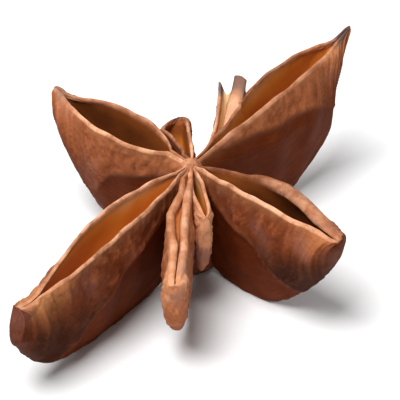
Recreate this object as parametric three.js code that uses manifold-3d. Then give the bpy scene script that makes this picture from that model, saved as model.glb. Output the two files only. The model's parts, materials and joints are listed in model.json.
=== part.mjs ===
// Star anise pod: the dry, woody fruit, a star of eight boat-shaped carpels that grew
// round one short column.  Most carpels have split along their upper seam.
// Millimetres, +Z up.  The pod lies with its seams upwards, on its keels and on the scar
// that the stalk left.  The origin is the middle of that scar.

import * as THREE from 'three';
import { mergeVertices } from 'three/addons/utils/BufferGeometryUtils.js';
import Module from 'manifold-3d';

const wasm = await Module();
wasm.setup();

// ---- Driving dimensions ----------------------------------------------------------------

const SEAM_HEIGHT = 8.3;        // height of the seams where they meet, above the floor
const SEAM_START = 0.4;         // each seam starts this far from the column's axis
const LIP = 0.25;               // thickness of a carpel's wall at the seam
const WALL = 0.6;               // thickness of its wall lower down
const FLOOR = 1.3;              // thickness of wood between the hollow and the keel
const GROOVE = 0.35;            // depth of the seam where it has stayed shut
const SLIT = 0.05;              // half the gap between two shut lips
const CLEARANCE = 0.12;         // from a flank to the plane between two carpels
const HEEL_HALF = 0.55;         // half the thickness of a carpel where it joins the column
const HEEL_RISE = 1.4;          // the keel leaves the column this far above its first point
const HEEL_RADIUS = 0.7;        // and this far from the axis
const FOLD_HEIGHT = 0.11;       // broad folds in the flanks
const FOLD_LENGTH = 3.3;
const SEAM_BEND = 2.2;          // power with which the beak turns up or down
const POINT_START = 0.82;       // fraction of the length at which a beak begins to sharpen
const LIFT_FADE = 1.2;          // depth at which a raised lip has lost most of its rise
const NARROW = { column: 0.32, beak: 0.28 };    // thickness at both ends, fraction of the widest
const CREASE = { start: 0.16, fall: 0.6, bend: 1.8 };   // depth of the widest line of a flank
const FACET_ROUNDNESS = 1.3;    // 1 is a flat flank, 2 a round one, more a full one
const FACET_END = [0.5, 0.75];  // the flat facet fades out between these fractions of the length
const COLUMN = { scar: 1.5, foot: 1.9, waist: 1.35, neck: 1.0, knob: 0.62, knobRise: 0.35 };

const RINGS = 20;               // cross-sections along a carpel
const SIDE_STEPS = 5;           // points down one side of a cross-section
const COLUMN_SIDES = 24;

// One entry for each carpel, anticlockwise seen from above.
//   azimuth     direction of the beak, degrees from +X
//   reach       column's axis to the tip of the beak
//   beakRise    tip of the beak above SEAM_HEIGHT
//   crown       how far the seam bows upwards on its way
//   hook        how far the last eighth of the seam turns up
//   margin      four points of the keel, from the column to the base of the beak: out, up
//   openEnd     height of the gap left between the ends of the lips, 0 where a beak joins them
//   lean        how far the beak has bent to the left
//   lift        how far the left and the right lip rise above the seam towards the beak
//   gape        opening of the left and of the right lip from the middle plane
//   parting     fractions of the seam between which the lips part, past 1 if they stay open
//   late        above 1 where the opening is widest nearer to the beak
//   skew        how far the opening swings to the left towards the beak
//   rim         extra thickness of the left and of the right lip, and where along it sets in
//   taper       fraction of the length at which the flanks begin to narrow to the beak
//   half        widest half-thickness of the left and of the right flank
//   blunt       roundness of the flanks towards the beak
//   point       share of its thickness that a sharp beak loses at its tip
//   hollow      1 for an empty seed hollow, 0 for a carpel that never opened
const CARPELS = [
  { name: 'right_back', azimuth: 47, reach: 15.8, beakRise: 2.5, crown: 1.0, hook: 0.4,
    margin: [[4.2, -0.15], [9.0, 0], [13.2, 3.0], [13.9, 7.6]],
    openEnd: 0, lean: 0, lift: [0, 0],
    gape: [1.3, 0.42], parting: [0.06, 0.91], late: 1.35, skew: 0, rim: [0, 0, 0], taper: 0.5,
    half: [2.0, 1.6], blunt: 1.9, point: 0.5, hollow: 1 },
  { name: 'back_slim', azimuth: 59, reach: 7.3, beakRise: 1.5, crown: -1.0, hook: 0,
    margin: [[2.2, 2.6], [4.1, 2.2], [5.9, 3.4], [6.9, 5.6]],
    openEnd: 2.0, lean: 1.3, lift: [-0.3, 0.8],
    gape: [0.9, 0.4], parting: [0.06, 2.0], late: 2, skew: 0, rim: [0, 0.7, 0.5], taper: 0.8,
    half: [0.8, 0.6], blunt: 1.9, point: 0, hollow: 0.8 },
  { name: 'back_small', azimuth: 96, reach: 5.2, beakRise: 0, crown: 0.3, hook: 0,
    margin: [[1.6, 2.7], [3.0, 2.6], [4.2, 3.8], [4.9, 6.2]],
    openEnd: 0, lean: 0, lift: [0, 0],
    gape: [1.5, 0.0], parting: [0.06, 1.05], late: 0.95, skew: 0, rim: [0, 0, 0], taper: 0.75,
    half: [1.9, 0.2], blunt: 1.9, point: 0, hollow: 0.8 },
  { name: 'left_back', azimuth: 144, reach: 11.4, beakRise: 0.9, crown: 0.5, hook: 0.5,
    margin: [[3.2, -0.1], [5.8, 0], [8.1, 2.1], [10.8, 6.7]],
    openEnd: 0, lean: 0, lift: [0, 0],
    gape: [1.3, 1.35], parting: [0.13, 0.92], late: 0.85, skew: 0, rim: [0, 0, 0], taper: 0.5,
    half: [1.9, 1.9], blunt: 1.9, point: 0.3, hollow: 1 },
  { name: 'left_front', azimuth: 232, reach: 18.5, beakRise: -0.6, crown: 0.4, hook: 0,
    margin: [[4.8, -0.1], [10.2, -0.15], [15.4, 1.0], [18.8, 4.8]],
    openEnd: 0, lean: 0, lift: [0, 0],
    gape: [0.95, 0.95], parting: [0.06, 0.9], late: 0.92, skew: 0.55, rim: [0, 0, 0], taper: 0.45,
    half: [1.9, 1.65], blunt: 1.9, point: 0.3, hollow: 1 },
  { name: 'front', azimuth: 265, reach: 12.4, beakRise: -0.6, crown: 0.5, hook: 0,
    margin: [[3.4, 1.4], [6.6, 1.0], [9.8, 1.9], [12.0, 4.6]],
    openEnd: 0, lean: 0, lift: [0, 0],
    gape: [-0.2, 0.57], parting: [0.06, 0.72], late: 1, skew: 0, rim: [0.3, 0.3, 0], taper: 0.84,
    half: [0.65, 0.85], blunt: 3.5, point: 0, hollow: 0 },
  { name: 'front_slim', azimuth: 277, reach: 6.0, beakRise: 0.1, crown: 0.1, hook: 0,
    margin: [[1.6, 3.0], [3.2, 2.6], [4.8, 3.0], [5.8, 5.0]],
    openEnd: 0, lean: 0.3, lift: [0, 0],
    gape: [0.3, 0.2], parting: [0.06, 1.0], late: 1, skew: 0, rim: [0, 0, 0], taper: 0.8,
    half: [0.5, 0.6], blunt: 2.4, point: 0, hollow: 0.7 },
  { name: 'front_right', azimuth: 320, reach: 12.9, beakRise: 0, crown: 0.9, hook: 0,
    margin: [[3.6, -0.15], [6.8, 0], [9.9, 2.5], [12.3, 5.8]],
    openEnd: 0, lean: 0, lift: [0, 0],
    gape: [0.5, 0.88], parting: [0.06, 0.88], late: 1, skew: -0.32, rim: [0.9, 0, 0.25], taper: 0.8,
    half: [1.5, 1.9], blunt: 1.9, point: 0, hollow: 1 },
];

// ---- Shape of one carpel, in its middle plane: x outwards, y up --------------------------

const clamp01 = (value) => Math.min(1, Math.max(0, value));
const mix = (a, b, t) => a + (b - a) * t;
const smooth = (from, to, value) => THREE.MathUtils.smoothstep(value, from, to);

// Height of the seam, u running from 0 at the column to 1 at the tip of the beak.
function seamPoint(carpel, u) {
  const bow = carpel.beakRise * u ** SEAM_BEND + carpel.crown * Math.sin(Math.PI * u);
  const rise = bow + carpel.hook * smooth(0.88, 1, u);
  return new THREE.Vector2(mix(SEAM_START, carpel.reach, u), SEAM_HEIGHT + rise);
}

// The keel: a smooth line from the column, along the bottom and up the outer margin.
function keelCurve(carpel) {
  const { margin } = carpel;
  return new THREE.SplineCurve([
    new THREE.Vector2(HEEL_RADIUS, margin[0][1] + HEEL_RISE),
    ...margin.map(([out, up]) => new THREE.Vector2(out, up)),
    seamPoint(carpel, 1).sub(new THREE.Vector2(0, carpel.openEnd)),
  ]);
}

// 0 where the lips meet, 1 where they stand furthest apart.
function lens(carpel, u) {
  const [start, end] = carpel.parting;
  const along = (u - start) / (end - start);
  return Math.sin(Math.PI * clamp01(along) ** carpel.late) ** 0.85;
}

// Thickness of the carpel along its length, as a fraction of its greatest.
function fullness(carpel, u) {
  const swelling = mix(NARROW.column, 1, smooth(0, 0.5, u));
  const sharpening = 1 - carpel.point * smooth(POINT_START, 1, u);
  return swelling * sharpening * mix(1, NARROW.beak, smooth(carpel.taper, 1.02, u));
}

// Fraction of the depth at which a flank is widest: the crease above the smooth facet
// where two carpels pressed on each other.
const creaseDepth = (u) => CREASE.start + CREASE.fall * u ** CREASE.bend;

// Below the crease the flank is flat towards the column and round towards the beak.
const flankPower = (carpel, u) => 2 / mix(FACET_ROUNDNESS, carpel.blunt, smooth(...FACET_END, u));

// ---- Room that the neighbours leave ------------------------------------------------------

// Angle from a carpel to the plane between it and its neighbour on one side, and how far
// out they touch.  side is 0 for the left, anticlockwise, neighbour and 1 for the right.
function contact(index, side) {
  const step = side === 0 ? 1 : -1;
  const own = CARPELS[index];
  const other = CARPELS[(index + step + CARPELS.length) % CARPELS.length];
  const between = (step * (other.azimuth - own.azimuth) + 360) % 360;
  const share = own.half[side] / (own.half[side] + other.half[1 - side]);
  return { slope: Math.tan(THREE.MathUtils.degToRad(between * share)), reach: other.reach };
}

// away is how far the carpel has bent away from that neighbour here.
function roomAt(touch, out, away) {
  const wedge = out * Math.min(touch.slope, 1.2) - CLEARANCE;
  const beyond = Math.max(0, out - 0.9 * touch.reach);
  return Math.max(HEEL_HALF, wedge + beyond + away);
}

// ---- Cross-section -----------------------------------------------------------------------

// Half-thickness and depth fraction of the points down one flank, lip first, keel last.
function flankProfile(carpel, u, side, room) {
  const fading = Math.max(Math.min(1, 0.35 + (1 - u) / 0.22), Math.min(1, carpel.openEnd));
  const lipEnds = Math.min(1, 0.4 + u / 0.25) * fading;
  const thick = carpel.rim[side] * smooth(carpel.rim[2], carpel.rim[2] + 0.35, u);
  const lip = (LIP + thick) * lipEnds;
  const aside = (side === 0 ? 1 : -1) * carpel.skew * smooth(0.4, 0.85, u);
  const lipOuter = Math.min(carpel.gape[side] * lens(carpel, u) + aside + SLIT + lip, room);
  const full = carpel.half[side] * fullness(carpel, u);
  const crest = Math.min(Math.max(full, lipOuter + 0.12 * fullness(carpel, u)), room + 0.02);
  const crease = creaseDepth(u);
  const power = flankPower(carpel, u);
  const points = [
    { half: lipOuter, depth: 0 },
    { half: mix(lipOuter, crest, 0.62), depth: 0.5 * crease },
  ];
  const roundSteps = SIDE_STEPS - 2;
  for (let i = 0; i < roundSteps; i += 1) {
    const angle = (0.5 * Math.PI * i) / roundSteps;
    const half = crest * Math.cos(angle) ** power;
    points.push({ half, depth: crease + (1 - crease) * Math.sin(angle) ** power });
  }
  return { points, lipInner: lipOuter - lip, crest };
}

// Half-thickness of a flank at any depth, between the points of its profile.
function halfAt(points, depth) {
  const ends = [...points, { half: 0, depth: 1 }];
  const next = Math.max(1, ends.findIndex((point) => point.depth >= depth));
  const [above, below] = [ends[next - 1], ends[next]];
  return mix(above.half, below.half, (depth - above.depth) / (below.depth - above.depth));
}

// Broad folds that run down the rough part of a flank.
function fold(carpel, out, depth) {
  const bend = 0.9 * Math.sin(2.6 * depth + carpel.azimuth);
  const wave = Math.sin((2 * Math.PI * out) / FOLD_LENGTH + bend + 0.7 * carpel.azimuth);
  return FOLD_HEIGHT * wave * Math.sin(Math.PI * clamp01(depth));
}

// The closed ring of one cross-section: down the left flank, round the keel, up the right
// flank, over the lip, down into the hollow and up to the left lip again.
function sectionRing(carpel, u, touches) {
  const top = seamPoint(carpel, u);
  const bottom = keelCurve(carpel).getPoint(u);
  const length = top.distanceTo(bottom);
  const bow = carpel.lean * u * u;
  const at = (half, depth, lift = 0) => {
    const raised = lift * u ** 3 * Math.exp(-(depth * length) / LIFT_FADE);
    const point = top.clone().lerp(bottom, depth - raised / length);
    return new THREE.Vector3(point.x, half + bow, Math.max(0, point.y));
  };

  const flanks = touches.map((touch, side) => {
    const room = roomAt(touch, mix(top.x, bottom.x, 0.4), side === 0 ? -bow : bow);
    return flankProfile(carpel, u, side, room);
  });
  const outside = flanks.map((flank, side) => flank.points.map(({ half, depth }) => {
    const out = mix(top.x, bottom.x, depth);
    const swell = fold(carpel, out, depth) * smooth(0.15, 0.4, u);
    return at((half + swell) * (side === 0 ? 1 : -1), depth, carpel.lift[side]);
  }));

  const shutting = carpel.openEnd > 0 ? 0.5 * u : u;
  const openness = Math.sin(Math.PI * clamp01((shutting - 0.04) / 0.92)) ** 0.6;
  const hollow = carpel.hollow * openness * Math.max(0, length - FLOOR);
  const floorDepth = Math.min(GROOVE + hollow, 0.45 * length + hollow * 0.5) / length;
  const floorMiddle = 0.5 * (flanks[0].lipInner - flanks[1].lipInner) * (1 - floorDepth);
  const inside = flanks.map((flank, side) => {
    const sign = side === 0 ? 1 : -1;
    const points = [];
    for (let i = 0; i < SIDE_STEPS; i += 1) {
      const angle = (0.5 * Math.PI * i) / SIDE_STEPS;
      const depth = floorDepth * Math.sin(angle);
      const straight = mix(sign * floorMiddle, flank.lipInner, Math.cos(angle));
      const room = Math.max(0, halfAt(flank.points, depth) - WALL - straight);
      const swell = carpel.hollow * openness * Math.sin(2 * angle) * flank.crest;
      points.push(at((straight + Math.min(room, swell)) * sign, depth, carpel.lift[side]));
    }
    return points;
  });

  return [
    ...outside[0], at(0, 1), ...outside[1].reverse(),
    ...inside[1], at(floorMiddle, floorDepth), ...inside[0].reverse(),
  ];
}

// ---- Solids --------------------------------------------------------------------------------

function solidFrom(geometry) {
  geometry.deleteAttribute('normal');
  geometry.deleteAttribute('uv');
  const merged = mergeVertices(geometry, 1e-5);
  return new wasm.Manifold(new wasm.Mesh({
    numProp: 3,
    vertProperties: new Float32Array(merged.attributes.position.array),
    triVerts: new Uint32Array(merged.index.array),
  }));
}

// The cross-sections joined into one closed skin.
function carpelSolid(index) {
  const carpel = CARPELS[index];
  const touches = [contact(index, 0), contact(index, 1)];
  const rings = [];
  for (let i = 0; i < RINGS; i += 1) {
    const even = i / (RINGS - 1);
    const eased = 0.5 - 0.5 * Math.cos(Math.PI * even);
    rings.push(sectionRing(carpel, 0.985 * mix(even, eased, 0.4), touches));
  }
  const tip = keelCurve(carpel).getPoint(1);
  const perRing = rings[0].length;
  const positions = rings.flat().flatMap((point) => point.toArray());
  positions.push(tip.x, carpel.lean, tip.y);

  const indices = [];
  for (let i = 0; i + 1 < RINGS; i += 1) {
    for (let j = 0; j < perRing; j += 1) {
      const a = i * perRing + j;
      const b = i * perRing + ((j + 1) % perRing);
      indices.push(a, b + perRing, b, a, a + perRing, b + perRing);
    }
  }
  // The heel is shut by a strip between flank and hollow, the beak by a fan to its tip.
  for (let j = 0; j < perRing / 2 - 1; j += 1) {
    const inner = perRing - 1 - j;
    indices.push(j, inner - 1, inner, j, j + 1, inner - 1);
  }
  const last = (RINGS - 1) * perRing;
  for (let j = 0; j < perRing; j += 1) {
    indices.push(last + ((j + 1) % perRing), last + j, RINGS * perRing);
  }

  const geometry = new THREE.BufferGeometry();
  geometry.setAttribute('position', new THREE.Float32BufferAttribute(positions, 3));
  geometry.setIndex(indices);
  geometry.rotateZ(THREE.MathUtils.degToRad(carpel.azimuth));
  return solidFrom(geometry);
}

// The column that all carpels grew on: flat stalk scar below, small blunt knob on top.
function columnSolid() {
  const outline = [
    [0, 0], [COLUMN.scar, 0], [COLUMN.foot, 0.5], [COLUMN.foot, 1.6], [COLUMN.waist, 3.4],
    [COLUMN.waist, 6.2], [COLUMN.neck, 7.5], [COLUMN.knob, SEAM_HEIGHT],
    [0.6 * COLUMN.knob, SEAM_HEIGHT + 0.8 * COLUMN.knobRise],
    [0, SEAM_HEIGHT + COLUMN.knobRise],
  ];
  const points = outline.map(([radius, height]) => new THREE.Vector2(radius, height));
  const geometry = new THREE.LatheGeometry(points, COLUMN_SIDES);
  geometry.rotateX(Math.PI / 2);
  return solidFrom(geometry);
}

function podGeometry() {
  let pod = columnSolid();
  for (let index = 0; index < CARPELS.length; index += 1) {
    pod = pod.add(carpelSolid(index));
  }
  const { vertProperties, triVerts } = pod.getMesh();
  const geometry = new THREE.BufferGeometry();
  geometry.setAttribute('position', new THREE.Float32BufferAttribute(vertProperties, 3));
  geometry.setIndex(Array.from(triVerts));
  geometry.computeVertexNormals();
  return geometry;
}

// ---- Model -----------------------------------------------------------------------------------

const wood = new THREE.MeshStandardMaterial({ color: 0x8a4f33, roughness: 0.72, metalness: 0 });
const pod = new THREE.Mesh(podGeometry(), wood);
pod.name = 'pod';

const model = new THREE.Group();
model.add(pod);

export default model;
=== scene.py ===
import json
import math

import bpy
import numpy as np
from mathutils import Matrix, Vector, kdtree

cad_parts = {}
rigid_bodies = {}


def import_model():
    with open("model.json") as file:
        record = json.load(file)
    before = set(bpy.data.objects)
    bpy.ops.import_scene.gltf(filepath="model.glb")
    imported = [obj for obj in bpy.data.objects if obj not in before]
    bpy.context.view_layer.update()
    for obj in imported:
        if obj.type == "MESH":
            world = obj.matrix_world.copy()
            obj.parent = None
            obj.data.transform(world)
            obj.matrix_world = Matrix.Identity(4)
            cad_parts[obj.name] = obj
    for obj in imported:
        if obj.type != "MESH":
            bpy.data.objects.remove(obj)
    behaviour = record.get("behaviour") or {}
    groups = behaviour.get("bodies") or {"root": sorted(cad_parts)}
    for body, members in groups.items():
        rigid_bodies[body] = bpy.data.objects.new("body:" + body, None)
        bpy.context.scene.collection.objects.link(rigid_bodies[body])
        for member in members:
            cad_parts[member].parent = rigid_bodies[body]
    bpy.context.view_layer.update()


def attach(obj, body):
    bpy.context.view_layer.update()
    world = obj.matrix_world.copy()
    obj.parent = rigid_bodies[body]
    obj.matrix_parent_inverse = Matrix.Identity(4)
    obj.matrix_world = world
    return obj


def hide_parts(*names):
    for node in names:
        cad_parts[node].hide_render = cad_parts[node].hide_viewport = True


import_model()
scene = bpy.context.scene

# ---- Carpels -------------------------------------------------------------------------------
# Eight boat-shaped carpels, each a thick leaf that dried to wood and split along its upper
# edge.  Each is skinned over cross-sections that fan out between the seam above and the keel
# below: flank, keel, flank, rounded lip, hollow, rounded lip.

MM = 0.001
SEAM_HEIGHT = 8.3               # lengths in this section are millimetres
SEAM_START = 0.4                # where a seam leaves the knob
SEAM_BEND = 2.2                 # how late it rises to the beak
HOOK_START = 0.88               # places along a carpel run from 0 at the column to 1 at the beak
HEEL_RADIUS, HEEL_RISE = 0.7, 1.4       # where a keel leaves the column
STEEPEST_CONTACT = 1.2          # greatest slope of the plane between two carpels
CLEARANCE = 0.12                # free space up to that plane
CONTACT_LEVEL = 0.4             # share of the height at which the room up to it is measured
NEIGHBOUR_ENDS = 0.9            # share of a neighbour's reach past which there is room again
HEEL_HALF = 0.55                # half-thickness that a carpel keeps in any case
OVERSTEP = 0.02                 # how far its crest may pass the room up to the plane
SHORTEST = 0.05                 # least height of a cross-section

LIP = 0.25                      # thickness of a lip
LIP_AT_COLUMN, LIP_GROWS = 0.4, 0.25    # share of it at the column, and place where it is whole
LIP_AT_BEAK, LIP_FADES = 0.35, 0.22     # the same at the beak
LIP_CROWN = 0.4                 # a lip rises above the seam by this share of its thickness
CROWN_ROUNDNESS = 0.8
LIP_SHOWS = 0.2                 # bare wood shows this far down its sides
RIM_GROWS, RIM_BARE = 0.35, 5   # a thicker rim is whole this far on, and shows more bare wood
LIFT_FADE = 1.2                 # a lifted lip takes the flank along this far down
SLIT = 0.05                     # half-width of an opening where the lips touch
OPENING_FULLNESS = 0.85         # below 1 for an outline that is fuller than a sine
SKEW_GROWS = (0.4, 0.85)

RIPPLES = (                     # height, pace, its unit, shift between lips, shift by seed
    (1, 5.1, 3, 2.3, 1),
    (0.6, 11.7, 4, 4.1, 2),
)
LIP_RIPPLE = 0.06               # height of the lips' wandering
RIPPLE_FADE = 0.6               # and how far down it reaches
RIPPLE_GROWS, RIPPLE_ENDS = (0.05, 0.25), (0.85, 1)

NARROW_COLUMN, NARROW_BEAK = 0.32, 0.28         # shares of the thickness at the two ends
WIDEST_FROM = 0.5
TAPER_END = 1.02
POINT_START = 0.82
TIP_START, TIP_LENGTH = 0.94, 0.062             # the rounding that closes the end
BULGE = 0.12                    # how far a flank stands out past its lip
CREASE_START, CREASE_FALL, CREASE_BEND = 0.16, 0.6, 1.8
UPPER_ROUNDNESS = 1.4
FACET_ROUNDNESS = 1.3
FACET_END = (0.5, 0.75)
FACET_DROP, FACET_TURN = 0.8, 0.15              # the pressed part's edge runs down at its end
FACET_BLUR = (0.05, 0.09)
FOLD_HEIGHT, FOLD_LENGTH = 0.11, 3.3            # broad folds of the flanks
FOLD_BEND, FOLD_PACE, FOLD_SHIFT = 0.9, 2.6, 0.7
FOLD_GROWS = (0.15, 0.4)

WALL = 0.6                      # wood left beside the hollow
FLOOR = 1.3                     # and below it
GROOVE = 0.35                   # depth of the groove between lips with no hollow
SHALLOW = 0.45                  # it takes up this share of a low end
HOLLOW_START, HOLLOW_SPAN = 0.04, 0.92
HOLLOW_FULLNESS = 0.6
LINING = (0.1, 0.5)             # depths between which the husk turns into the hollow's lining

SECTION_STEP = 0.165            # distance between cross-sections
END_SECTIONS = 12               # more of them for the two ends,
END_CLOSENESS = 0.45            # where they also stand closer
LAST_SECTION = 0.999
SLOPE_POINTS, ROUND_POINTS = 30, 60     # of a flank's outline, before it is spaced evenly
FLANK_POINTS = 46
LIP_POINTS = 4
HOLLOW_POINTS = 20
RIPPLE_SEED = 1.7

LANE = 20.0                     # keeps the grain of one carpel apart from that of the next
DARK_BEAK = (0.86, 0.95, 0.2, 0.55)     # where along the carpel it begins and is full, and where
RUBBED_END = (0.68, 0.9, 0.25, 0.8)     # down the flank it thins out and ends
TOO_PALE_TO_DARKEN = (0.6, 0.85)        # tones whose pressed part is no darker

# The seam runs out to reach, with an arch (crown) and a beak that rises and hooks up.  The keel
# runs through the margin's points (distance, height), and open_end parts it from the seam at the
# tip.  lean bends the carpel aside, and lift raises its lips.  The opening has a gape to the left
# and the right, begins and ends at parting, is widest late along it if late is above 1, and is
# skewed aside.  rim thickens the lips from a place on.  taper is where the carpel begins to
# narrow, half its half-thickness to each side, blunt how blunt its keel is, point how sharply it
# ends, and hollow how far it is hollowed out.
#
# tone is 0 for the darkest husk and 1 for the palest, and lining the same for the hollow; both
# are in part painted shade and light: darker for front_right and for the hollows of left_back
# and front_right, paler for front_slim.  bare is how much pale wood the left and the right lip
# show, in part a painted highlight.  beak is how dark its tip has weathered, or below 0 how pale
# it was rubbed, and facet is how far above the crease the pressed part begins and where along
# the carpel it ends; the pressed part's dark colour is in part painted shade, carried higher
# and further out on right_back.
CARPELS = [
    dict(name="right_back", azimuth=47, reach=15.8, beak_rise=2.5, crown=1.0, hook=0.4,
         margin=((4.2, -0.15), (9.0, 0.0), (13.2, 3.0), (13.9, 7.6)),
         open_end=0, lean=0, lift=(0, 0),
         gape=(1.3, 0.42), parting=(0.06, 0.91), late=1.35, skew=0, rim=(0, 0, 0), taper=0.5,
         half=(2.0, 1.6), blunt=1.9, point=0.5, hollow=1,
         tone=0.55, lining=1.0, bare_and_highlight=(0.2, 0.42), beak=1.0, facet=(0.16, 0.65)),
    dict(name="back_slim", azimuth=59, reach=7.3, beak_rise=1.5, crown=-1.0, hook=0,
         margin=((2.2, 2.6), (4.1, 2.2), (5.9, 3.4), (6.9, 5.6)),
         open_end=2.0, lean=1.3, lift=(-0.3, 0.8),
         gape=(0.9, 0.4), parting=(0.06, 2.0), late=2, skew=0, rim=(0, 0.7, 0.5), taper=0.8,
         half=(0.8, 0.6), blunt=1.9, point=0, hollow=0.8,
         tone=1.1, lining=2.0, bare_and_highlight=(1.0, 0.5), beak=0.8, facet=(0, 0.51)),
    dict(name="back_small", azimuth=96, reach=5.2, beak_rise=0.0, crown=0.3, hook=0,
         margin=((1.6, 2.7), (3.0, 2.6), (4.2, 3.8), (4.9, 6.2)),
         open_end=0, lean=0, lift=(0, 0),
         gape=(1.5, 0.0), parting=(0.06, 1.05), late=0.95, skew=0, rim=(0, 0, 0), taper=0.75,
         half=(1.9, 0.2), blunt=1.9, point=0, hollow=0.8,
         tone=0.3, lining=0.55, bare_and_highlight=(0.3, 0.8), beak=0.4, facet=(0, 0.51)),
    dict(name="left_back", azimuth=144, reach=11.4, beak_rise=0.9, crown=0.5, hook=0.5,
         margin=((3.2, -0.1), (5.8, 0.0), (8.1, 2.1), (10.8, 6.7)),
         open_end=0, lean=0, lift=(0, 0),
         gape=(1.3, 1.35), parting=(0.13, 0.92), late=0.85, skew=0, rim=(0, 0, 0), taper=0.5,
         half=(1.9, 1.9), blunt=1.9, point=0.3, hollow=1,
         tone=0.62, lining=0.1, bare_and_highlight=(1.0, 0.4), beak=0.5, facet=(0, 0.51)),
    dict(name="left_front", azimuth=232, reach=18.5, beak_rise=-0.6, crown=0.4, hook=0,
         margin=((4.8, -0.1), (10.2, -0.15), (15.4, 1.0), (18.8, 4.8)),
         open_end=0, lean=0, lift=(0, 0),
         gape=(0.95, 0.95), parting=(0.06, 0.9), late=0.92, skew=0.55, rim=(0, 0, 0), taper=0.45,
         half=(1.9, 1.65), blunt=1.9, point=0.3, hollow=1,
         tone=0.28, lining=1.05, bare_and_highlight=(0.65, 0.75), beak=-0.6, facet=(0.05, 0.51)),
    dict(name="front", azimuth=265, reach=12.4, beak_rise=-0.6, crown=0.5, hook=0,
         margin=((3.4, 1.4), (6.6, 1.0), (9.8, 1.9), (12.0, 4.6)),
         open_end=0, lean=0, lift=(0, 0),
         gape=(-0.2, 0.57), parting=(0.06, 0.72), late=1, skew=0, rim=(0.3, 0.3, 0), taper=0.84,
         half=(0.65, 0.85), blunt=3.5, point=0, hollow=0,
         tone=0.9, lining=0.4, bare_and_highlight=(0.2, 0.12), beak=0, facet=(0, 0.51)),
    dict(name="front_slim", azimuth=277, reach=6.0, beak_rise=0.1, crown=0.1, hook=0,
         margin=((1.6, 3.0), (3.2, 2.6), (4.8, 3.0), (5.8, 5.0)),
         open_end=0, lean=0.3, lift=(0, 0),
         gape=(0.3, 0.2), parting=(0.06, 1.0), late=1, skew=0, rim=(0, 0, 0), taper=0.8,
         half=(0.5, 0.6), blunt=2.4, point=0, hollow=0.7,
         tone=1.1, lining=1.25, bare_and_highlight=(0.8, 0.7), beak=0, facet=(0, 0.51)),
    dict(name="front_right", azimuth=320, reach=12.9, beak_rise=0, crown=0.9, hook=0,
         margin=((3.6, -0.15), (6.8, 0.0), (9.9, 2.5), (12.3, 5.8)),
         open_end=0, lean=0, lift=(0, 0),
         gape=(0.5, 0.88), parting=(0.06, 0.88), late=1, skew=-0.32,
         rim=(0.9, 0, 0.25), taper=0.8, half=(1.5, 1.9), blunt=1.9, point=0, hollow=1,
         tone=0.27, lining=0.15, bare_and_highlight=(0.08, 1.0), beak=-0.15, facet=(0, 0.51)),
]


def mix(a, b, t):
    return a + (b - a) * t


def smooth(start, end, value):
    t = np.clip((value - start) / (end - start), 0, 1)
    return t * t * (3 - 2 * t)


def seam_point(carpel, u):
    rise = carpel["beak_rise"] * u ** SEAM_BEND + carpel["crown"] * math.sin(math.pi * u)
    rise += carpel["hook"] * smooth(HOOK_START, 1, u)
    return np.array([mix(SEAM_START, carpel["reach"], u), SEAM_HEIGHT + rise])


def keel_point(carpel, u):
    """The keel: a smooth line from the column, along the bottom and up the outer margin."""
    tip = seam_point(carpel, 1) - (0, carpel["open_end"])
    first = (HEEL_RADIUS, carpel["margin"][0][1] + HEEL_RISE)
    knots = np.array([first, *carpel["margin"], tip])
    last = len(knots) - 1
    start = min(int(u * last), last - 1)
    t = u * last - start
    p0, p1, p2, p3 = knots[[max(start - 1, 0), start, start + 1, min(start + 2, last)]]
    v0, v1 = 0.5 * (p2 - p0), 0.5 * (p3 - p1)
    cubic, square = 2 * (p1 - p2) + v0 + v1, 3 * (p2 - p1) - 2 * v0 - v1
    return ((cubic * t + square) * t + v0) * t + p1


def contact(index, side):
    """Slope of the plane between a carpel and its neighbour, and the neighbour's reach."""
    step = 1 if side == 0 else -1
    own, other = CARPELS[index], CARPELS[(index + step) % len(CARPELS)]
    between = step * (other["azimuth"] - own["azimuth"]) % 360
    share = own["half"][side] / (own["half"][side] + other["half"][1 - side])
    return min(math.tan(math.radians(between * share)), STEEPEST_CONTACT), other["reach"]


def flank_profile(carpel, u, side, room):
    """Half-thickness and depth down one flank, from the lip to the keel, and its main sizes."""
    start, end = carpel["parting"]
    along = (u - start) / (end - start)
    lens = math.sin(math.pi * min(1, max(0, along)) ** carpel["late"]) ** OPENING_FULLNESS
    thick = carpel["rim"][side] * smooth(carpel["rim"][2], carpel["rim"][2] + RIM_GROWS, u)
    fading = max(min(1, LIP_AT_BEAK + (1 - u) / LIP_FADES), min(1, carpel["open_end"]))
    lip = (LIP + thick) * min(1, LIP_AT_COLUMN + u / LIP_GROWS) * fading
    aside = (1 - 2 * side) * carpel["skew"] * smooth(*SKEW_GROWS, u)
    lip_outer = min(carpel["gape"][side] * lens + aside + SLIT + lip, room)
    full = mix(NARROW_COLUMN, 1, smooth(0, WIDEST_FROM, u))
    full *= mix(1, NARROW_BEAK, smooth(carpel["taper"], TAPER_END, u))
    full *= 1 - carpel["point"] * smooth(POINT_START, 1, u)
    crest = min(max(carpel["half"][side] * full, lip_outer + BULGE * full), room + OVERSTEP)
    crease = CREASE_START + CREASE_FALL * u ** CREASE_BEND
    power = 2 / mix(FACET_ROUNDNESS, carpel["blunt"], smooth(*FACET_END, u))
    slope = np.linspace(0, 1, SLOPE_POINTS, endpoint=False)
    angle = np.linspace(0, 0.5 * math.pi, ROUND_POINTS)
    half = np.concatenate([
        mix(lip_outer, crest, 1 - (1 - slope) ** UPPER_ROUNDNESS),
        crest * np.cos(angle).clip(0) ** power,
    ])
    depth = np.concatenate([slope * crease, crease + (1 - crease) * np.sin(angle) ** power])
    return dict(half=half, depth=depth, lip=lip, lip_outer=lip_outer, crest=crest,
                crease=crease, bare_and_highlight=min(1, carpel["bare_and_highlight"][side] * (1 + RIM_BARE * thick)))


def facet_share(facet_edge, depth):
    """How far the flank is pressed, and darkened in part as painted shade, at this depth."""
    return smooth(facet_edge - FACET_BLUR[0], facet_edge + FACET_BLUR[1], depth)


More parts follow.
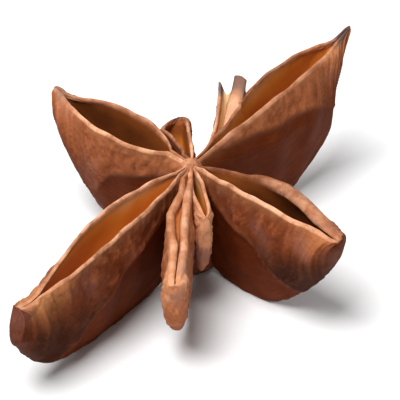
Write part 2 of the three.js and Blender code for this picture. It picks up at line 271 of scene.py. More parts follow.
def section(carpel, u, touches, seed):
    """One closed cross-section: its points, a row of values for each, and its height.

    The values are half-thickness, depth as a share of the height, hollow, lip, pressed part (its
    dark colour in part painted shade) and bare wood (in part a painted highlight).
    """
    top, bottom = seam_point(carpel, u), keel_point(carpel, u)
    length = max(np.linalg.norm(bottom - top), SHORTEST)
    room_at = mix(top[0], bottom[0], CONTACT_LEVEL)
    tip_round = math.sqrt(max(0.0, 1 - (max(0.0, u - TIP_START) / TIP_LENGTH) ** 2))
    tip_round = max(tip_round, min(1, carpel["open_end"]))
    flanks = []
    for side, (slope, reach) in enumerate(touches):
        away = (2 * side - 1) * carpel["lean"] * u * u
        beyond = max(0, room_at - NEIGHBOUR_ENDS * reach)
        room = max(HEEL_HALF, room_at * slope - CLEARANCE + beyond + away)
        flanks.append(flank_profile(carpel, u, side, room))
    opening = 0.5 * u if carpel["open_end"] else u
    opening = min(1, max(0, (opening - HOLLOW_START) / HOLLOW_SPAN))
    openness = math.sin(math.pi * opening) ** HOLLOW_FULLNESS
    hollow = carpel["hollow"] * openness * max(0, length - FLOOR)
    floor = min(GROOVE + hollow, SHALLOW * length + 0.5 * hollow) / length
    lips_in = [flank["lip_outer"] - flank["lip"] for flank in flanks]
    middle = 0.5 * (lips_in[0] - lips_in[1]) * (1 - floor)
    facet_rise, facet_reach = carpel["facet"]
    dropped = smooth(facet_reach - FACET_TURN, facet_reach + FACET_TURN, u)
    facet_edge = flanks[0]["crease"] + FACET_DROP * dropped ** 2 - facet_rise

    sides = []
    for side, flank in enumerate(flanks):
        sign = 1 - 2 * side
        steps = np.hypot(np.diff(flank["half"]), np.diff(flank["depth"]) * length)
        run = np.concatenate([[0], np.cumsum(steps)])
        even = np.linspace(0, run[-1], FLANK_POINTS + 1)[:-1]
        depth = np.interp(even, run, flank["depth"])
        half = np.interp(even, run, flank["half"])
        out = mix(top[0], bottom[0], depth)
        bend = FOLD_BEND * np.sin(FOLD_PACE * depth + carpel["azimuth"])
        turns = 2 * math.pi * out / FOLD_LENGTH + bend + FOLD_SHIFT * carpel["azimuth"]
        wave = np.sin(turns) * np.sin(math.pi * depth)
        half = half + FOLD_HEIGHT * wave * smooth(*FOLD_GROWS, u)
        outside = np.stack([
            half * sign * tip_round, depth, np.zeros_like(depth),
            np.exp(-(depth * length / LIP_SHOWS) ** 2),
            facet_share(facet_edge, depth),
            np.full_like(depth, flank["bare_and_highlight"]),
        ], axis=1)

        angle = np.linspace(0, 0.5 * math.pi, HOLLOW_POINTS, endpoint=False)
        depth = floor * np.sin(angle)
        straight = mix(sign * middle, lips_in[side], np.cos(angle))
        spare = np.interp(depth, flank["depth"], flank["half"]) - WALL - straight
        swell = carpel["hollow"] * openness * np.sin(2 * angle) * flank["crest"]
        half = straight + np.minimum(spare.clip(0), swell)
        inside = np.stack([
            half * sign * tip_round, depth, smooth(*LINING, depth * length),
            np.exp(-(depth * length / LIP_SHOWS) ** 2), np.zeros_like(depth),
            np.full_like(depth, flank["bare_and_highlight"]),
        ], axis=1)

        crown = LIP_CROWN * flank["lip"]
        across = np.linspace(0, 1, LIP_POINTS + 2)[1:-1]
        half = mix(outside[0, 0], inside[0, 0], across)
        rim = np.stack([
            half, -crown * np.sin(math.pi * across) ** CROWN_ROUNDNESS / length * tip_round,
            np.zeros_like(half), np.ones_like(half), np.zeros_like(half),
            np.full_like(half, flank["bare_and_highlight"]),
        ], axis=1)
        ripple = sum(
            high * math.sin(pace * u * carpel["reach"] / unit + shift * side + turn * seed)
            for high, pace, unit, shift, turn in RIPPLES
        )
        ripple *= LIP_RIPPLE * smooth(*RIPPLE_GROWS, u) * (1 - smooth(*RIPPLE_ENDS, u))
        lift = carpel["lift"][side] * u ** 3
        for part in (outside, inside, rim):
            down = np.abs(part[:, 1]) * length
            risen = ripple * np.exp(-down / RIPPLE_FADE) + lift * np.exp(-down / LIFT_FADE)
            part[:, 1] -= risen / length
        sides.append((outside, rim, inside))

    keel_row = np.array([[0, 1, 0, 0, facet_share(facet_edge, 1), 0]])
    inside_floor = smooth(*LINING, floor * length)
    floor_row = np.array([[middle * tip_round, floor, inside_floor, 0, 0, 0]])
    (out_l, rim_l, in_l), (out_r, rim_r, in_r) = sides
    rows = np.concatenate([
        out_l, keel_row, out_r[::-1], rim_r, in_r, floor_row, in_l[::-1], rim_l[::-1],
    ])
    plane = top + (bottom - top) * rows[:, 1:2]
    bow = carpel["lean"] * u * u
    points = np.stack([plane[:, 0], rows[:, 0] + bow, plane[:, 1].clip(0)], axis=1)
    return points, rows, length


def carpel_mesh(index):
    """A carpel's skin in metres, with its four surface values of three numbers each.

    grain: lengths along and across it, and its lane.  place: share of the way out, share of
    the way down, and bare wood, in part a painted highlight.  zone: hollow, lip and pressed part,
    whose dark colour is in part painted shade.  shade: tone, lining, beak, where tone and lining
    are in part painted shade and light.
    """
    carpel = CARPELS[index]
    touches = [contact(index, 0), contact(index, 1)]
    count = int(carpel["reach"] / SECTION_STEP) + END_SECTIONS
    even = np.linspace(0, 1, count)
    eased = mix(even, 0.5 - 0.5 * np.cos(math.pi * even), END_CLOSENESS)
    made = [section(carpel, u, touches, RIPPLE_SEED * index) for u in LAST_SECTION * eased]
    points = np.array([points for points, _, _ in made])
    rows = np.array([rows for _, rows, _ in made])
    lengths = np.array([length for _, _, length in made])

    ring = points.shape[1]
    run = np.zeros(points.shape[:2])
    run[1:] = np.cumsum(np.linalg.norm(np.diff(points, axis=0), axis=2), axis=0)
    skin = np.arange(ring) <= 2 * FLANK_POINTS
    turn_at = np.where(skin, FLANK_POINTS, FLANK_POINTS * 2 + 1 + LIP_POINTS + HOLLOW_POINTS)
    side = np.sign(np.arange(ring) - turn_at)
    fold_back = np.where(skin, 1.0, rows[:, turn_at[-1], 1][:, None])
    down = rows[:, :, 1] * lengths[:, None]
    across = side * (fold_back * lengths[:, None] - down)
    across = np.where(rows[:, :, 3] > 0.999, rows[:, :, 0], across)     # on the lips' crowns
    lane = np.broadcast_to(np.where(skin, LANE * index, LANE * index + LANE / 2), run.shape)
    grain = np.stack([run, across, lane], axis=2)
    along = np.broadcast_to(eased[:, None], run.shape)
    place = np.stack([along, rows[:, :, 1], rows[:, :, 5]], axis=2)
    worn_tip = DARK_BEAK if carpel["beak"] > 0 else RUBBED_END
    beak = smooth(*worn_tip[:2], along) * (1 - smooth(*worn_tip[2:], rows[:, :, 1]))
    shade = np.stack([
        np.full_like(run, carpel["tone"]), np.full_like(run, carpel["lining"]),
        carpel["beak"] * beak,
    ], axis=2)
    zone = rows[:, :, 2:5].copy()
    zone[:, :, 2] *= 1 - smooth(*TOO_PALE_TO_DARKEN, carpel["tone"])

    i, j = np.meshgrid(np.arange(count - 1), np.arange(ring), indexing="ij")
    a, b = (i * ring + j).ravel(), (i * ring + (j + 1) % ring).ravel()
    faces = np.stack([a, a + ring, b + ring, b], axis=1).tolist()
    half_ring = ring // 2
    for k in range(half_ring - 1):
        faces.append([k, k + 1, ring - 2 - k, ring - 1 - k])
    tip = count * ring
    last = (count - 1) * ring
    faces += [[last + (k + 1) % ring, last + k, tip] for k in range(ring)]

    flat = points.reshape(-1, 3)
    end = keel_point(carpel, 1)
    flat = np.vstack([flat, [end[0], carpel["lean"], end[1]]])
    turn = math.radians(carpel["azimuth"])
    spun = flat.copy()
    spun[:, 0] = flat[:, 0] * math.cos(turn) - flat[:, 1] * math.sin(turn)
    spun[:, 1] = flat[:, 0] * math.sin(turn) + flat[:, 1] * math.cos(turn)

    mesh = bpy.data.meshes.new(carpel["name"])
    mesh.from_pydata((spun * MM).tolist(), [], faces)
    values = np.concatenate([grain, place, zone, shade], axis=2).reshape(-1, 12)
    return mesh, spun * MM, np.vstack([values, values[-1]])


carpels = [carpel_mesh(index) for index in range(len(CARPELS))]

# ---- Column --------------------------------------------------------------------------------
# The short woody axis that the carpels grew on.  It ends below in the flat scar of the snapped
# stalk, and above in a small blunt knob in the middle of the star.

COLUMN_OUTLINE = [              # radius and height, millimetres
    (0, 0), (1.5, 0), (1.9, 0.5), (1.9, 1.6), (1.35, 3.4), (1.35, 6.2), (1.0, 7.5),
    (0.62, SEAM_HEIGHT), (0.37, SEAM_HEIGHT + 0.28), (0, SEAM_HEIGHT + 0.35),
]
COLUMN_SIDES = 96
COLUMN_RINGS = 70
KNOB = (7.6, SEAM_HEIGHT)               # heights between which the column turns into the knob
NOTCH_DEPTH, NOTCH_WIDTH = 0.3, 14      # notches of the knob: share of its radius, degrees
SCAR_TOP = (1.6, 2.4)                   # heights between which the pressed part begins
COLUMN_PRESSED = 0.6
COLUMN_LANE = 500
COLUMN_GIRTH = 1.5                      # radius by which its grain is measured
GRAIN_TOP = 9                           # height at which its share of the way down is 0
COLUMN_TONE, COLUMN_LINING, KNOB_BARE = 0.7, 0.5, 0.7

outline = np.array(COLUMN_OUTLINE, float)
outline_run = np.concatenate([[0], np.cumsum(np.hypot(*np.diff(outline, axis=0).T))])
even_run = np.linspace(0, outline_run[-1], COLUMN_RINGS)[1:-1]
radius = np.interp(even_run, outline_run, outline[:, 0])
height = np.interp(even_run, outline_run, outline[:, 1])
spin = np.linspace(0, 2 * math.pi, COLUMN_SIDES, endpoint=False)
azimuths = np.array([carpel["azimuth"] for carpel in CARPELS], float)
following = np.roll(azimuths, -1) + 360 * (np.roll(azimuths, -1) < azimuths)
notches = 0.5 * (azimuths + following)
apart = (np.degrees(spin)[:, None] - notches + 180) % 360 - 180
notched = 1 - NOTCH_DEPTH * np.exp(-(apart / NOTCH_WIDTH) ** 2).max(axis=1)
radii = radius[:, None] * mix(1, notched, smooth(*KNOB, height)[:, None])
ring_points = np.stack([
    radii * np.cos(spin), radii * np.sin(spin),
    np.broadcast_to(height[:, None], (len(height), COLUMN_SIDES)),
], axis=2).reshape(-1, 3)
column_points = np.vstack([ring_points, [0, 0, 0], [0, 0, outline[-1, 1]]]) * MM
column_faces = []
for i in range(len(height) - 1):
    for j in range(COLUMN_SIDES):
        a, b = i * COLUMN_SIDES + j, i * COLUMN_SIDES + (j + 1) % COLUMN_SIDES
        column_faces.append([a, b, b + COLUMN_SIDES, a + COLUMN_SIDES])
base, peak = len(ring_points), len(ring_points) + 1
for j in range(COLUMN_SIDES):
    k = (j + 1) % COLUMN_SIDES
    column_faces.append([k, j, base])
    column_faces.append([base - COLUMN_SIDES + j, base - COLUMN_SIDES + k, peak])
column_mesh = bpy.data.meshes.new("column")
column_mesh.from_pydata(column_points.tolist(), [], column_faces)
levels = column_points[:, 2] / MM
around = np.arctan2(column_points[:, 1], column_points[:, 0])
nought = np.zeros_like(levels)
column_pressed = smooth(*SCAR_TOP, levels) * COLUMN_PRESSED * (levels < KNOB[0])
column_values = np.stack([
    levels, around * COLUMN_GIRTH, nought + COLUMN_LANE,
    nought, 1 - levels / GRAIN_TOP, nought + KNOB_BARE,
    nought, KNOB_BARE * smooth(*KNOB, levels), column_pressed,
    nought + COLUMN_TONE, nought + COLUMN_LINING, nought,
], axis=1)

# ---- Pod -----------------------------------------------------------------------------------
# The fruit in one piece: carpels and column are one wood, grown together.  Its surface values
# go with it, and Geometry Nodes then raise the wrinkles of the dried husk.

gather = bpy.data.collections.new("gather")
scene.collection.children.link(gather)
for mesh, _, _ in carpels:
    gather.objects.link(bpy.data.objects.new(mesh.name, mesh))
pod = bpy.data.objects.new("husk", column_mesh)
scene.collection.objects.link(pod)
join = pod.modifiers.new("join", "BOOLEAN")
join.operation = "UNION"
join.operand_type = "COLLECTION"
join.collection = gather
join.solver = "MANIFOLD"
joined = bpy.data.meshes.new_from_object(pod.evaluated_get(bpy.context.evaluated_depsgraph_get()))
joined.materials.clear()        # the union leaves an empty slot
pod.modifiers.remove(join)
pod.data = joined
for piece in list(gather.objects):
    bpy.data.objects.remove(piece)
bpy.data.collections.remove(gather)

source_points = np.vstack([column_points] + [points for _, points, _ in carpels])
source_values = np.vstack([column_values] + [values for _, _, values in carpels])
tree = kdtree.KDTree(len(source_points))
for number, point in enumerate(source_points):
    tree.insert(point, number)
tree.balance()
nearest = np.array([tree.find(vertex.co)[1] for vertex in joined.vertices])
SURFACE_VALUES = ("grain", "place", "zone", "shade")
for number, name in enumerate(SURFACE_VALUES):
    values = source_values[nearest, 3 * number:3 * number + 3]
    layer = joined.attributes.new(name, "FLOAT_VECTOR", "POINT")
    layer.data.foreach_set("vector", values.astype(np.float32).ravel())
joined.shade_smooth()


def add(tree, kind, inputs=(), **settings):
    """A node with its settings, and its inputs set to values or linked to sockets."""
    made = tree.nodes.new(kind)
    for name, value in settings.items():
        setattr(made, name, value)
    for socket, value in dict(inputs).items():
        if isinstance(value, bpy.types.NodeSocket):
            tree.links.new(value, made.inputs[socket])
        else:
            made.inputs[socket].default_value = value
    return made


def calc(tree, operation, *values, clamp=False):
    return add(tree, "ShaderNodeMath", dict(enumerate(values)),
               operation=operation, use_clamp=clamp).outputs[0]


def less(tree, value):
    """1 less the value."""
    return calc(tree, "SUBTRACT", 1.0, value)


def hump(tree, value, height=1.0):
    """0 where the value is 0 or 1, and this high halfway."""
    fall = calc(tree, "MULTIPLY", value, 4 * height)
    return calc(tree, "MULTIPLY", value, calc(tree, "SUBTRACT", 4 * height, fall))


def weighted(tree, start, *parts):
    """The start and each value times its weight, added up and kept between 0 and 1."""
    for value, weight in parts[:-1]:
        start = calc(tree, "MULTIPLY_ADD", value, weight, start)
    return calc(tree, "MULTIPLY_ADD", *parts[-1], start, clamp=True)


def blend(tree, factor, first, second):
    """Mix of two numbers."""
    return add(tree, "ShaderNodeMix", {0: factor, 2: first, 3: second}).outputs[0]


def band(tree, value, low, high):
    """0 up to low, 1 from high on, and smooth between; low may be the greater of the two."""
    return add(tree, "ShaderNodeMapRange", {0: value, 1: low, 2: high},
               interpolation_type="SMOOTHSTEP").outputs[0]


def stretched(tree, parts, along, across, shift=0.0):
    """Surface coordinates in which a pattern is drawn out by these lengths."""
    return add(tree, "ShaderNodeCombineXYZ", {
        0: calc(tree, "DIVIDE", parts[0], along),
        1: calc(tree, "DIVIDE", parts[1], across),
        2: calc(tree, "ADD", parts[2], shift),
    }).outputs[0]


def noise(tree, coordinates, scale=1.0, detail=2.0, roughness=0.5, distortion=0.0):
    return add(tree, "ShaderNodeTexNoise", {
        "Vector": coordinates, "Scale": scale, "Detail": detail,
        "Roughness": roughness, "Distortion": distortion,
    }).outputs[0]


CREASE_REACH, CREASE_SHARPNESS = 2.2, 0.75


def creases(tree, value):
    """Rounded swellings with sharp creases between them."""
    swing = calc(tree, "ABSOLUTE", calc(tree, "MULTIPLY_ADD", value, 2.0, -1.0))
    swing = calc(tree, "MULTIPLY", swing, CREASE_REACH, clamp=True)
    return calc(tree, "POWER", swing, CREASE_SHARPNESS)


relief = bpy.data.node_groups.new("husk relief", "GeometryNodeTree")
relief.interface.new_socket("Geometry", in_out="INPUT", socket_type="NodeSocketGeometry")
relief.interface.new_socket("Geometry", in_out="OUTPUT", socket_type="NodeSocketGeometry")
RELIEF_INPUTS = (               # depths, heights and chips are in metres, as the mesh is
    ("Wrinkle Depth", "NodeSocketFloat", 0.00018),
    ("Wrinkle Length", "NodeSocketFloat", 1.1),      # millimetres, as the surface values are
    ("Keel Wrinkle Depth", "NodeSocketFloat", 0.00022),
    ("Pit Depth", "NodeSocketFloat", 0.00012),
    ("Margin Rib Depth", "NodeSocketFloat", 0.00019),
    ("Chip Size", "NodeSocketFloat", 0.0011),
    ("Facet Fold Height", "NodeSocketFloat", 0.00012),
    ("Fibre Depth", "NodeSocketFloat", 0.00003),
    ("Lip Fibre Depth", "NodeSocketFloat", 0.00014),
    ("Swell Depth", "NodeSocketFloat", 0.00012),
    ("Seed", "NodeSocketFloat", 3.0),
    ("Husk", "NodeSocketMaterial", None),
)
for name, kind, _ in RELIEF_INPUTS:
    relief.interface.new_socket(name, in_out="INPUT", socket_type=kind)
given = relief.nodes.new("NodeGroupInput").outputs
grain, place, zone, shade = (
    add(relief, "ShaderNodeSeparateXYZ", {0: add(
        relief, "GeometryNodeInputNamedAttribute", {"Name": name}, data_type="FLOAT_VECTOR",
    ).outputs[0]}).outputs for name in SURFACE_VALUES
)
grain = (grain[0], grain[1], calc(relief, "ADD", grain[2], given["Seed"]))
outward, depth = place[0], place[1]

# Ranges along a carpel (0 at the column, 1 at the beak) and down it (0 at the lip, 1 at the
# keel) over which its relief changes, and ranges of the pressed part's and the lip's shares.
PALE_HUSK = (0.68, 0.82)        # tones between which a carpel counts as a pale, broken one
MARGIN_RIBS = (0.58, 0.82)
FOLD_BEGINS = (0.1, 0.3)
BELOW_LIP = (0.0, 0.16)
NEAR_KEEL = (0.45, 0.85)
OFF_KEEL = (1.0, 0.75)
FACET_EDGE = (0.2, 0.8)
LIP_FIBRES = (0.6, 1.0)

# The pressed part is smooth, with a small fold where it meets the rest, but not at the keel.
edge_shift = calc(relief, "SUBTRACT", noise(
    relief, stretched(relief, grain, along=2.4, across=1.3, shift=200.0), detail=2.0), 0.5)
facet_edge = calc(relief, "MULTIPLY_ADD", edge_shift, hump(relief, zone[2], 0.8), zone[2])
facet = band(relief, facet_edge, *FACET_EDGE)
off_keel = band(relief, depth, *OFF_KEEL)
smoothing = calc(relief, "MULTIPLY_ADD", off_keel, 0.6, 0.25)
off_facet = less(relief, calc(relief, "MULTIPLY", facet, smoothing))
off_lip = less(relief, zone[1])
rough = calc(relief, "MULTIPLY", less(relief, zone[0]), off_lip)
rough = calc(relief, "MULTIPLY", rough, off_facet)
rough = calc(relief, "MULTIPLY", rough, blend(relief, band(relief, depth, *BELOW_LIP), 0.15, 1.0))
smooth_part = less(relief, rough)
fold = hump(relief, band(relief, facet_edge, 0.0, 1.0))
fold = calc(relief, "MULTIPLY", fold, band(relief, outward, *FOLD_BEGINS))
fold = calc(relief, "MULTIPLY", fold, off_keel)


def wrinkles(along, across, shift=0.0, **settings):
    """Wrinkles drawn out by these shares of the wrinkle length."""
    lengths = [calc(relief, "MULTIPLY", given["Wrinkle Length"], share)
               for share in (along, across)]
    return creases(relief, noise(relief, stretched(relief, grain, *lengths, shift), **settings))


def swinging(height, pattern, middle, amount):
    """The height and a pattern that swings about its middle by this amount."""
    return calc(relief, "MULTIPLY_ADD", calc(relief, "SUBTRACT", pattern, middle), amount, height)


# Wrinkles run out along the upper flank, fold closer at the keel, and end as ribs across the
# outer margin, or as chips where the husk is broken.  Finer patterns lie over them.
upper = wrinkles(along=1.0, across=1.3, detail=2.5, roughness=0.55, distortion=0.5)
lower = wrinkles(along=2.6, across=0.75, shift=40.0, detail=2.5, roughness=0.55, distortion=0.4)
ribs = wrinkles(along=0.62, across=3.5, shift=240.0, detail=2.0, roughness=0.5, distortion=0.3)
position = add(relief, "GeometryNodeInputPosition").outputs[0]
chips = creases(relief, noise(relief, position, calc(relief, "DIVIDE", 1.0, given["Chip Size"]),
                              detail=3.0, roughness=0.6))
near_keel = band(relief, depth, *NEAR_KEEL)
near_margin = band(relief, outward, *MARGIN_RIBS)
ends = blend(relief, band(relief, shade[0], *PALE_HUSK), ribs, chips)
wrinkle = blend(relief, near_margin, blend(relief, near_keel, upper, lower), ends)
wrinkle_depth = blend(relief, near_keel, given["Wrinkle Depth"], given["Keel Wrinkle Depth"])
wrinkle_depth = blend(relief, near_margin, wrinkle_depth, given["Margin Rib Depth"])
fibre_depth = blend(relief, band(relief, zone[1], *LIP_FIBRES),
                    given["Fibre Depth"], given["Lip Fibre Depth"])
pits = noise(relief, stretched(relief, grain, along=0.42, across=0.42, shift=80.0),
             detail=2.0, roughness=0.6)
fibres = noise(relief, stretched(relief, grain, along=2.4, across=0.38, shift=120.0), detail=1.5)
swell = noise(relief, stretched(relief, grain, along=3.2, across=2.6, shift=160.0), detail=1.0)
height = calc(relief, "MULTIPLY", calc(relief, "MULTIPLY", wrinkle, wrinkle_depth), rough)
height = swinging(height, pits, 0.5, calc(relief, "MULTIPLY", given["Pit Depth"], rough))
height = swinging(height, fibres, 0.5, calc(relief, "MULTIPLY", fibre_depth, smooth_part))
height = swinging(height, swell, 0.6, calc(relief, "MULTIPLY", given["Swell Depth"], off_lip))
height = calc(relief, "MULTIPLY_ADD", fold, given["Facet Fold Height"], height)
shift = add(relief, "ShaderNodeVectorMath", {
    0: add(relief, "GeometryNodeInputNormal").outputs[0], 3: height}, operation="SCALE").outputs[0]
kept = given["Geometry"]
for name, value in (("relief", wrinkle), ("pressed_and_shaded", facet), ("fold", fold)):
    kept = add(relief, "GeometryNodeStoreNamedAttribute", {
        "Geometry": kept, "Name": name, "Value": value,
    }, data_type="FLOAT", domain="POINT").outputs[0]
wrinkled = add(relief, "ShaderNodeVectorMath", {
    0: position, 1: shift}, operation="ADD").outputs[0]
above_floor = add(relief, "ShaderNodeVectorMath", {
    0: wrinkled, 1: (-1, -1, 0)}, operation="MAXIMUM").outputs[0]
moved = add(relief, "GeometryNodeSetPosition", {
    "Geometry": kept, "Position": above_floor}).outputs[0]
dressed = add(relief, "GeometryNodeSetMaterial", {
    "Geometry": moved, "Material": given["Husk"]}).outputs[0]
ready = add(relief, "GeometryNodeRealizeInstances", {"Geometry": dressed}).outputs[0]
add(relief, "NodeGroupOutput", {"Geometry": ready})

# The finish: matt red-brown rind, dark where neighbours pressed on it and, as painted shade,
# darker over a wider pressed part and down the flank towards the keel; satin ochre lining, with
# painted shade just under the lips; and pale bare edges, in part a painted highlight.  The more
# worn the rind is, and the warmer the lining, the paler its colour.
RIND = (
    (0.0, (0.040, 0.009, 0.003)),
    (0.35, (0.160, 0.038, 0.013)),
    (0.65, (0.370, 0.118, 0.046)),
    (1.0, (0.650, 0.300, 0.155)),
)
# the pressed part's dark colour, in part painted shade
PRESSED_AND_SHADED = (
    (0.3, (0.075, 0.010, 0.001)),
    (0.5, (0.110, 0.017, 0.002)),
    (0.75, (0.160, 0.032, 0.006)),
)
HOLLOW = (
    (0.0, (0.105, 0.026, 0.007)),
    (0.3, (0.270, 0.072, 0.016)),
    (0.55, (0.640, 0.205, 0.030)),
    (0.8, (0.800, 0.330, 0.055)),
    (1.0, (0.840, 0.560, 0.300)),
)
BARE_WOOD = (
    (0.3, (0.360, 0.135, 0.060)),
    (0.5, (0.700, 0.340, 0.190)),
    (0.7, (0.860, 0.540, 0.360)),
)
STAIN = (0.230, 0.105, 0.088, 1)
# paler along the fold at the edge of the pressed part
PALE_FOLD = (0.440, 0.160, 0.070, 1)
BESIDE_LIP = (0.560, 0.270, 0.120, 1)
WEATHERED = (0.080, 0.056, 0.062, 1)
RUBBED = (0.480, 0.220, 0.085, 1)
ROUGH_RIND, ROUGH_PRESSED, ROUGH_HOLLOW, ROUGH_LIP = 0.76, 0.68, 0.38, 0.55
ROUGHNESS_SPREAD = 0.16
SPECULAR_LEVEL, SPECULAR_TINT = 0.08, (1.0, 0.62, 0.4, 1)
BUMP_STRENGTH, BUMP_DISTANCE = 0.55, 0.00009

# Ranges along and down a carpel over which its colour changes, the share of the lip over which
# it turns to bare wood, and ranges of a pattern over which its stains and patches come in.
BROKEN_END = (0.6, 0.8)
WORN_END = (0.62, 1.0)
RUBBED_OFF_END = (0.6, 0.95)
# painted shade: the rind darker down the flank towards the keel
SHADE_DOWN_THE_FLANK = (0.15, 0.9)
BESIDE_THE_LIP = (0.0, 0.14)
# painted shade: the lining darker just under the lips
SHADE_UNDER_THE_LIP = (0.03, 0.2)
HOLLOW_FLOOR = (0.32, 0.6)
HOLLOW_END = (0.3, 0.8)
LIP_EDGE = (0.35, 0.9)
STAINS, HUSK_STAINS = (0.50, 0.70), (0.44, 0.66)
PATCHES = (0.36, 0.6)


def ramp(tree, value, stops):
    made = add(tree, "ShaderNodeValToRGB", {0: value})
    points = made.color_ramp.elements
    while len(points) < len(stops):
        points.new(0.5)
    for element, (position, colour) in zip(points, stops):
        element.position = position
        element.color = (*colour, 1)
    return made.outputs[0]


def over(tree, factor, under, top):
    """One colour laid over another."""
    return add(tree, "ShaderNodeMix", {0: factor, 6: under, 7: top}, data_type="RGBA").outputs[2]


husk = bpy.data.materials.new("dry husk")
husk.use_nodes = True
paint = husk.node_tree
shader = paint.nodes["Principled BSDF"]
grain, place, zone, shade = (
    tuple(add(paint, "ShaderNodeSeparateXYZ", {0: add(
        paint, "ShaderNodeAttribute", attribute_name=name).outputs["Vector"]}).outputs)
    for name in SURFACE_VALUES
)
raised, facet, fold = (
    add(paint, "ShaderNodeAttribute", attribute_name=name).outputs["Fac"]
    for name in ("relief", "pressed_and_shaded", "fold")
)
position = add(paint, "ShaderNodeTexCoord").outputs["Object"]
outward, depth, bare_and_highlight = place
inside, lip, _ = zone
# tone and lining are in part painted shade and light
tone, lining, beak = shade
broken = band(paint, tone, *PALE_HUSK)
husk_side = less(paint, inside)

mottle = noise(paint, position, scale=900, detail=3.0, roughness=0.6)
blotch = noise(paint, position, scale=320, detail=2.0, roughness=0.5)
speck = noise(paint, position, scale=4200, detail=2.0, roughness=0.6)
streak = noise(paint, stretched(paint, grain, along=1.8, across=0.22), detail=3.0, roughness=0.6)
threads = noise(paint, stretched(paint, grain, along=3.0, across=0.12, shift=30.0), detail=2.0)
streak = blend(paint, calc(paint, "MULTIPLY", broken, band(paint, outward, *BROKEN_END)),
               streak, mottle)

wear_and_shade = weighted(
    paint, -0.22, (raised, 0.24), (tone, 0.5), (mottle, 0.28), (speck, 0.22), (streak, 0.18),
    (band(paint, outward, *WORN_END), 0.32),
    # painted shade: darker down the flank towards the keel
    (band(paint, depth, *SHADE_DOWN_THE_FLANK), calc(paint, "MULTIPLY_ADD", tone, 0.36, -0.48)),
)
rind = over(paint, calc(paint, "MULTIPLY", band(paint, blotch, *STAINS), 0.3),
            ramp(paint, wear_and_shade, RIND), STAIN)
# the pressed part's dark colour, in part painted shade
pressed_and_shaded = ramp(paint, weighted(paint, 0.0, (mottle, 0.5), (streak, 0.5)), PRESSED_AND_SHADED)
skin = over(paint, calc(paint, "MULTIPLY", facet, 0.95), rind, pressed_and_shaded)
# paler along the fold
skin = over(paint, calc(paint, "MULTIPLY", fold, 0.2), skin, PALE_FOLD)
warm = weighted(
    paint, 0.0, (threads, 0.12), (lining, 0.6), (blotch, 0.4),
    # painted shade: darker just under the lips
    (band(paint, depth, *SHADE_UNDER_THE_LIP), -0.22), (band(paint, depth, *HOLLOW_FLOOR), 0.36),
    (band(paint, outward, *HOLLOW_END), -0.12),
)
colour = over(paint, inside, skin, ramp(paint, warm, HOLLOW))

wood = ramp(paint, weighted(paint, 0.0, (streak, 0.4), (mottle, 0.4), (speck, 0.2)), BARE_WOOD)
patchy = calc(paint, "MULTIPLY_ADD", band(paint, mottle, *PATCHES), 0.6, 0.55)
# pale bare wood on the lips, in part a painted highlight
exposed_and_highlit = calc(paint, "MULTIPLY", calc(paint, "MULTIPLY", bare_and_highlight, patchy, clamp=True),
               blend(paint, band(paint, outward, *RUBBED_OFF_END), 1.0, 0.62))
beside = calc(paint, "MULTIPLY_ADD", band(paint, depth, *BESIDE_THE_LIP), -0.22, 0.22)
beside = calc(paint, "MULTIPLY", calc(paint, "MULTIPLY", beside, exposed_and_highlit), husk_side)
colour = over(paint, beside, colour, BESIDE_LIP)
on_lip = calc(paint, "MULTIPLY", band(paint, lip, *LIP_EDGE), exposed_and_highlit)
colour = over(paint, on_lip, colour, wood)
stained = calc(paint, "MULTIPLY", band(paint, blotch, *HUSK_STAINS), broken)
stained = calc(paint, "MULTIPLY", stained, husk_side)
colour = over(paint, calc(paint, "MULTIPLY", stained, 0.5), colour, STAIN)
colour = over(paint, calc(paint, "MULTIPLY", beak, 0.92, clamp=True), colour, WEATHERED)
rubbed_end = calc(paint, "MULTIPLY", beak, calc(paint, "MULTIPLY_ADD", mottle, -1.6, -0.1))
rubbed_end = calc(paint, "MULTIPLY", rubbed_end, less(paint, lip), clamp=True)
colour = over(paint, rubbed_end, colour, RUBBED)
paint.links.new(colour, shader.inputs["Base Color"])

matt = blend(paint, facet, ROUGH_RIND, ROUGH_PRESSED)
matt = blend(paint, inside, matt, ROUGH_HOLLOW)
matt = blend(paint, lip, matt, ROUGH_LIP)
matt = calc(paint, "SUBTRACT", matt, ROUGHNESS_SPREAD / 2)
matt = calc(paint, "MULTIPLY_ADD", speck, ROUGHNESS_SPREAD, matt)
paint.links.new(matt, shader.inputs["Roughness"])
shader.inputs["Specular IOR Level"].default_value = SPECULAR_LEVEL
shader.inputs["Specular Tint"].default_value = SPECULAR_TINT

grit = calc(paint, "MULTIPLY_ADD", noise(paint, position, scale=5200, detail=4.0, roughness=0.65),
            0.6, noise(paint, position, scale=2000, detail=2.0))
gritty = calc(paint, "MULTIPLY", husk_side, less(paint, calc(paint, "MULTIPLY", facet, 0.7)))
texture = blend(paint, gritty, calc(paint, "MULTIPLY", threads, 0.2), grit)
bump = add(paint, "ShaderNodeBump", {
    "Height": texture, "Strength": BUMP_STRENGTH, "Distance": BUMP_DISTANCE})
paint.links.new(bump.outputs[0], shader.inputs["Normal"])

raising = pod.modifiers.new("relief", "NODES")
raising.node_group = relief
settings = {name: husk if name == "Husk" else value for name, _, value in RELIEF_INPUTS}
for item in relief.interface.items_tree:
    if item.item_type == "SOCKET" and item.in_out == "INPUT" and item.name in settings:
        raising[item.identifier] = settings[item.name]
baked = bpy.data.meshes.new_from_object(pod.evaluated_get(bpy.context.evaluated_depsgraph_get()))
pod.modifiers.remove(raising)
pod.data = baked
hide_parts("pod")
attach(pod, "root")

# ---- Floor, light and camera ---------------------------------------------------------------
# A plain pale floor under soft studio light, seen from above the front of the pod.

FLOOR_CORNERS = [(-1, -1, 0), (1, -1, 0), (1, 1, 0), (-1, 1, 0)]
FLOOR_COLOUR, FLOOR_ROUGHNESS = (0.86, 0.86, 0.86, 1), 0.7
SKY_STRENGTH = 0.26
LAMPS = (                       # place, width and power, in metres and watts
    ("key", (-0.09, -0.10, 0.33), 0.19, 1.75),
    ("rim", (0.10, 0.24, 0.20), 0.14, 0.2),
)

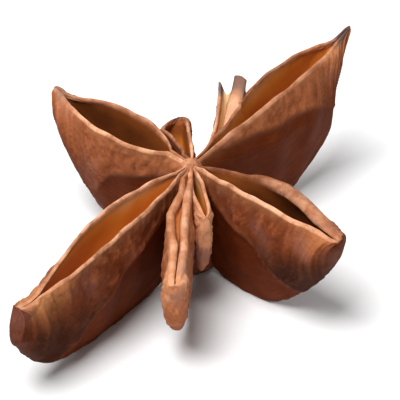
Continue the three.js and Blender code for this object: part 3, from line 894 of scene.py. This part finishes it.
floor_mesh = bpy.data.meshes.new("floor")
floor_mesh.from_pydata(FLOOR_CORNERS, [], [(0, 1, 2, 3)])
floor_piece = bpy.data.objects.new("floor", floor_mesh)
scene.collection.objects.link(floor_piece)
floor_look = bpy.data.materials.new("pale floor")
floor_look.use_nodes = True
floor_shader = floor_look.node_tree.nodes["Principled BSDF"]
floor_shader.inputs["Base Color"].default_value = FLOOR_COLOUR
floor_shader.inputs["Roughness"].default_value = FLOOR_ROUGHNESS
floor_mesh.materials.append(floor_look)

world = bpy.data.worlds.new("studio")
scene.world = world
world.use_nodes = True
sky = world.node_tree.nodes["Background"]
sky.inputs["Color"].default_value = (1.0, 1.0, 1.0, 1)
sky.inputs["Strength"].default_value = SKY_STRENGTH
for name, stand, width, power in LAMPS:
    lamp = bpy.data.lights.new(name, "AREA")
    lamp.energy = power
    lamp.size = width
    lamp_piece = bpy.data.objects.new(name, lamp)
    lamp_piece.location = stand
    lamp_piece.rotation_euler = (-Vector(stand)).to_track_quat("-Z", "Y").to_euler()
    scene.collection.objects.link(lamp_piece)

CAMERA_DISTANCE = 0.5
CAMERA_ELEVATION = math.radians(38)
FRAME_WIDTH = 0.0268            # width of the view at the middle of the star
KNOB_IN_FRAME = (0.478, 0.591)  # where the knob stands in the view, from its lower left corner

camera_data = bpy.data.cameras.new("camera")
camera = bpy.data.objects.new("camera", camera_data)
scene.collection.objects.link(camera)
scene.camera = camera
back = Vector((0, -math.cos(CAMERA_ELEVATION), math.sin(CAMERA_ELEVATION)))
right = Vector((1, 0, 0))
up = back.cross(right)
viewpoint = Vector((0, 0, SEAM_HEIGHT * MM)) + back * CAMERA_DISTANCE
viewpoint += right * (0.5 - KNOB_IN_FRAME[0]) * FRAME_WIDTH
viewpoint += up * (0.5 - KNOB_IN_FRAME[1]) * FRAME_WIDTH
turn = Matrix((right, up, back)).transposed()
camera.matrix_world = Matrix.Translation(viewpoint) @ turn.to_4x4()
camera_data.lens = camera_data.sensor_width * CAMERA_DISTANCE / FRAME_WIDTH
camera_data.clip_start = 0.01
scene.view_settings.view_transform = "Standard"
